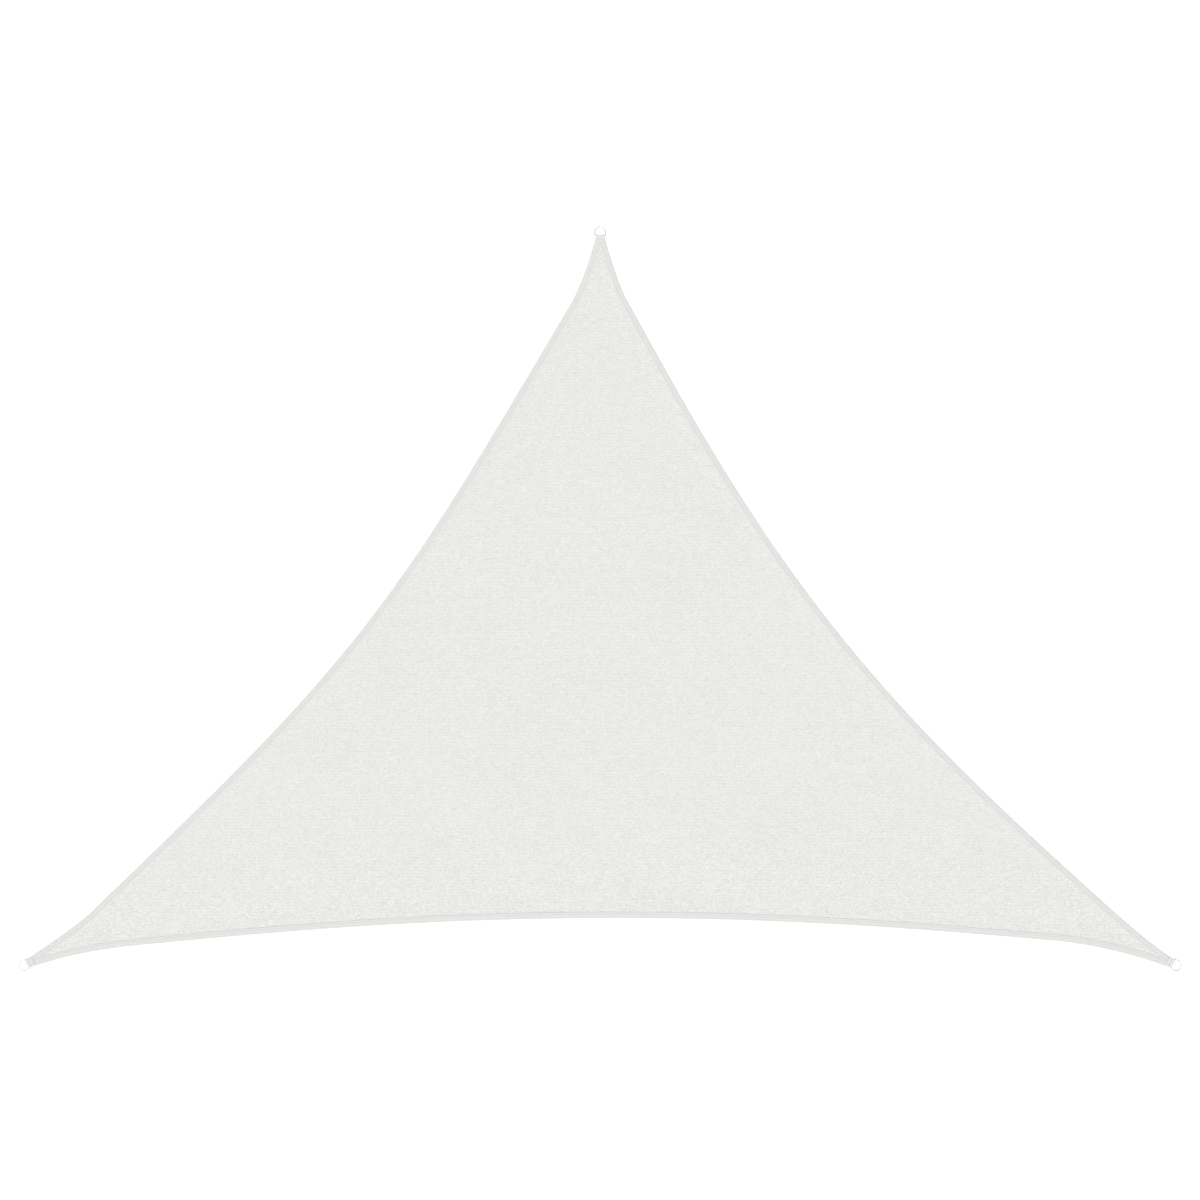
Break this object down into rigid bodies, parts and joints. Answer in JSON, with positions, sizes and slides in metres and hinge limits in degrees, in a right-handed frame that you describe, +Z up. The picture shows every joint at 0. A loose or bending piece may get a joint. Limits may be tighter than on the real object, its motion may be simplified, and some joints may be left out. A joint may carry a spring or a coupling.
{
  "type": "shade sail",
  "caption": "Triangular knitted sun shade laid out flat, with hollowed edges bound in folded tape and a steel D-ring held by a webbing tab at each corner.",
  "frame": {"origin": "middle of the outline's box in plan, on the surface that the sail lies on", "axes": "+X along the long side, towards the right corner; +Y towards the apex; +Z up, out of the sail's face"},
  "size_m": [4.9998, 3.2018, 0.0089],
  "materials": {
    "cloth": "matt knitted shade cloth, off-white",
    "edge_tape": "matt woven tape, light grey-white",
    "webbing": "close-woven webbing, light grey-white",
    "ring_steel": "polished stainless steel"
  },
  "bodies": {
    "root": {"sail_cloth": "cloth", "binding_left": "edge_tape", "binding_right": "edge_tape", "binding_bottom": "edge_tape", "tab_top": "webbing", "tab_left": "webbing", "tab_right": "webbing", "ring_top": "ring_steel", "ring_left": "ring_steel", "ring_right": "ring_steel"}
  },
  "joints": []
}
